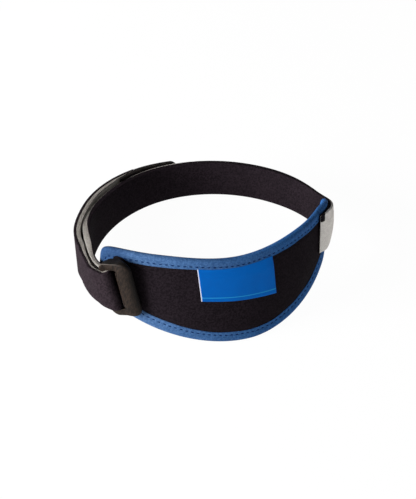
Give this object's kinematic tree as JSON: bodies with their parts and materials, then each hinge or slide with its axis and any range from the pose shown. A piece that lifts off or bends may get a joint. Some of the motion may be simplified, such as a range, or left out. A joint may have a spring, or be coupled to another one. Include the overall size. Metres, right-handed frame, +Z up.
{
  "type": "patellar strap",
  "caption": "Padded crescent knee strap with taped edge and woven label; its strap runs round the back, through a plastic ring and back on itself to a hook tab.",
  "frame": {"origin": "on the floor, under the middle of the object's box", "axes": "+X along the loop's long way, to the right as seen from the pad's front; the pad's middle faces -Y; +Z up"},
  "size_m": [0.1614, 0.1304, 0.0545],
  "materials": {
    "pad_cloth": "brushed knit over foam",
    "binding_tape": "woven tape",
    "label_weave": "fine satin weave",
    "ring_plastic": "satin moulded",
    "tab_webbing": "woven webbing",
    "strap_cloth": "brushed knit with a grey pile face",
    "hook_tape": "hook tape"
  },
  "bodies": {
    "root": {"pad": "pad_cloth", "binding": "binding_tape", "label": "label_weave", "ring": "ring_plastic", "tab": "tab_webbing", "strap": "strap_cloth", "hook_tab": "hook_tape"}
  },
  "joints": []
}
